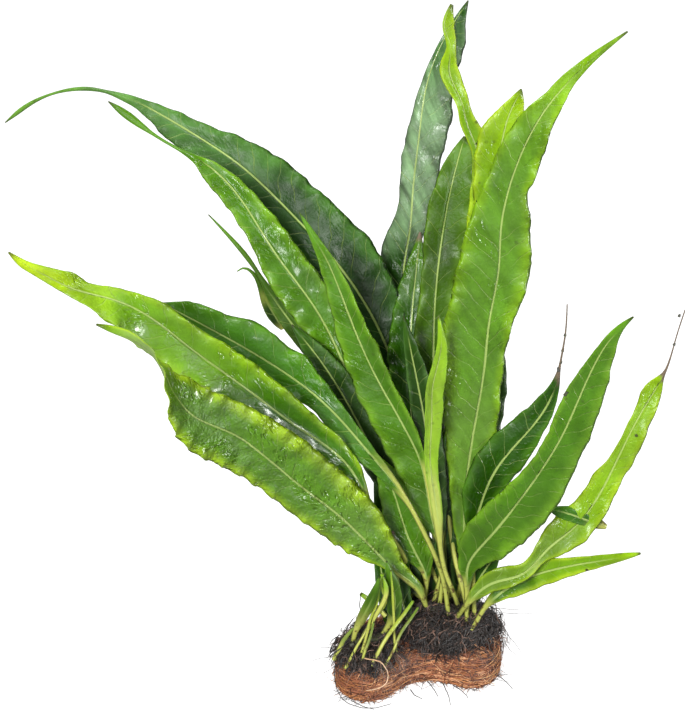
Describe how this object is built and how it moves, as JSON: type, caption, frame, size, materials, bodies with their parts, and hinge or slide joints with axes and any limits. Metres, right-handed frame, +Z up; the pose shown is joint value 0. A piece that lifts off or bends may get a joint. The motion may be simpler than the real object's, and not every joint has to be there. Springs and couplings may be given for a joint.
{
  "type": "java fern on coconut fibre pad",
  "caption": "Aquarium java fern clump with long wavy lance-shaped fronds rising from a creeping rhizome and dark wiry roots on a kidney-shaped pad of matted coconut fibre.",
  "frame": {"origin": "centre of the fibre pad's flat underside", "axes": "+Z up, -Y to the plant's front, +X to its right as seen from the front"},
  "size_m": [0.2264, 0.1328, 0.2382],
  "materials": {
    "coir": "matte",
    "root": "matte",
    "rhizome": "satin",
    "frond": "gloss"
  },
  "bodies": {
    "root": {"coir_pad": "coir", "roots_left": "root", "roots_right": "root", "rhizome_front": "rhizome", "rhizome_back": "rhizome", "frond_front_left": "frond", "frond_far_left": "frond", "frond_left_mid": "frond", "frond_upper_left": "frond", "frond_centre_left": "frond", "frond_back_left": "frond", "frond_back_tall": "frond", "frond_back_slim": "frond", "frond_front_tall": "frond", "frond_centre": "frond", "frond_back_right": "frond", "frond_inner_right": "frond", "frond_thread_tip": "frond", "frond_right_broad": "frond", "frond_right_outer": "frond", "frond_right_low": "frond", "frond_centre_folded": "frond", "frond_centre_inner": "frond", "frond_back_thin": "frond", "frond_inner_left": "frond", "frond_young_front": "frond", "frond_small_stalk": "frond", "frond_small_blade": "frond", "frond_small_inner": "frond"}
  },
  "joints": []
}
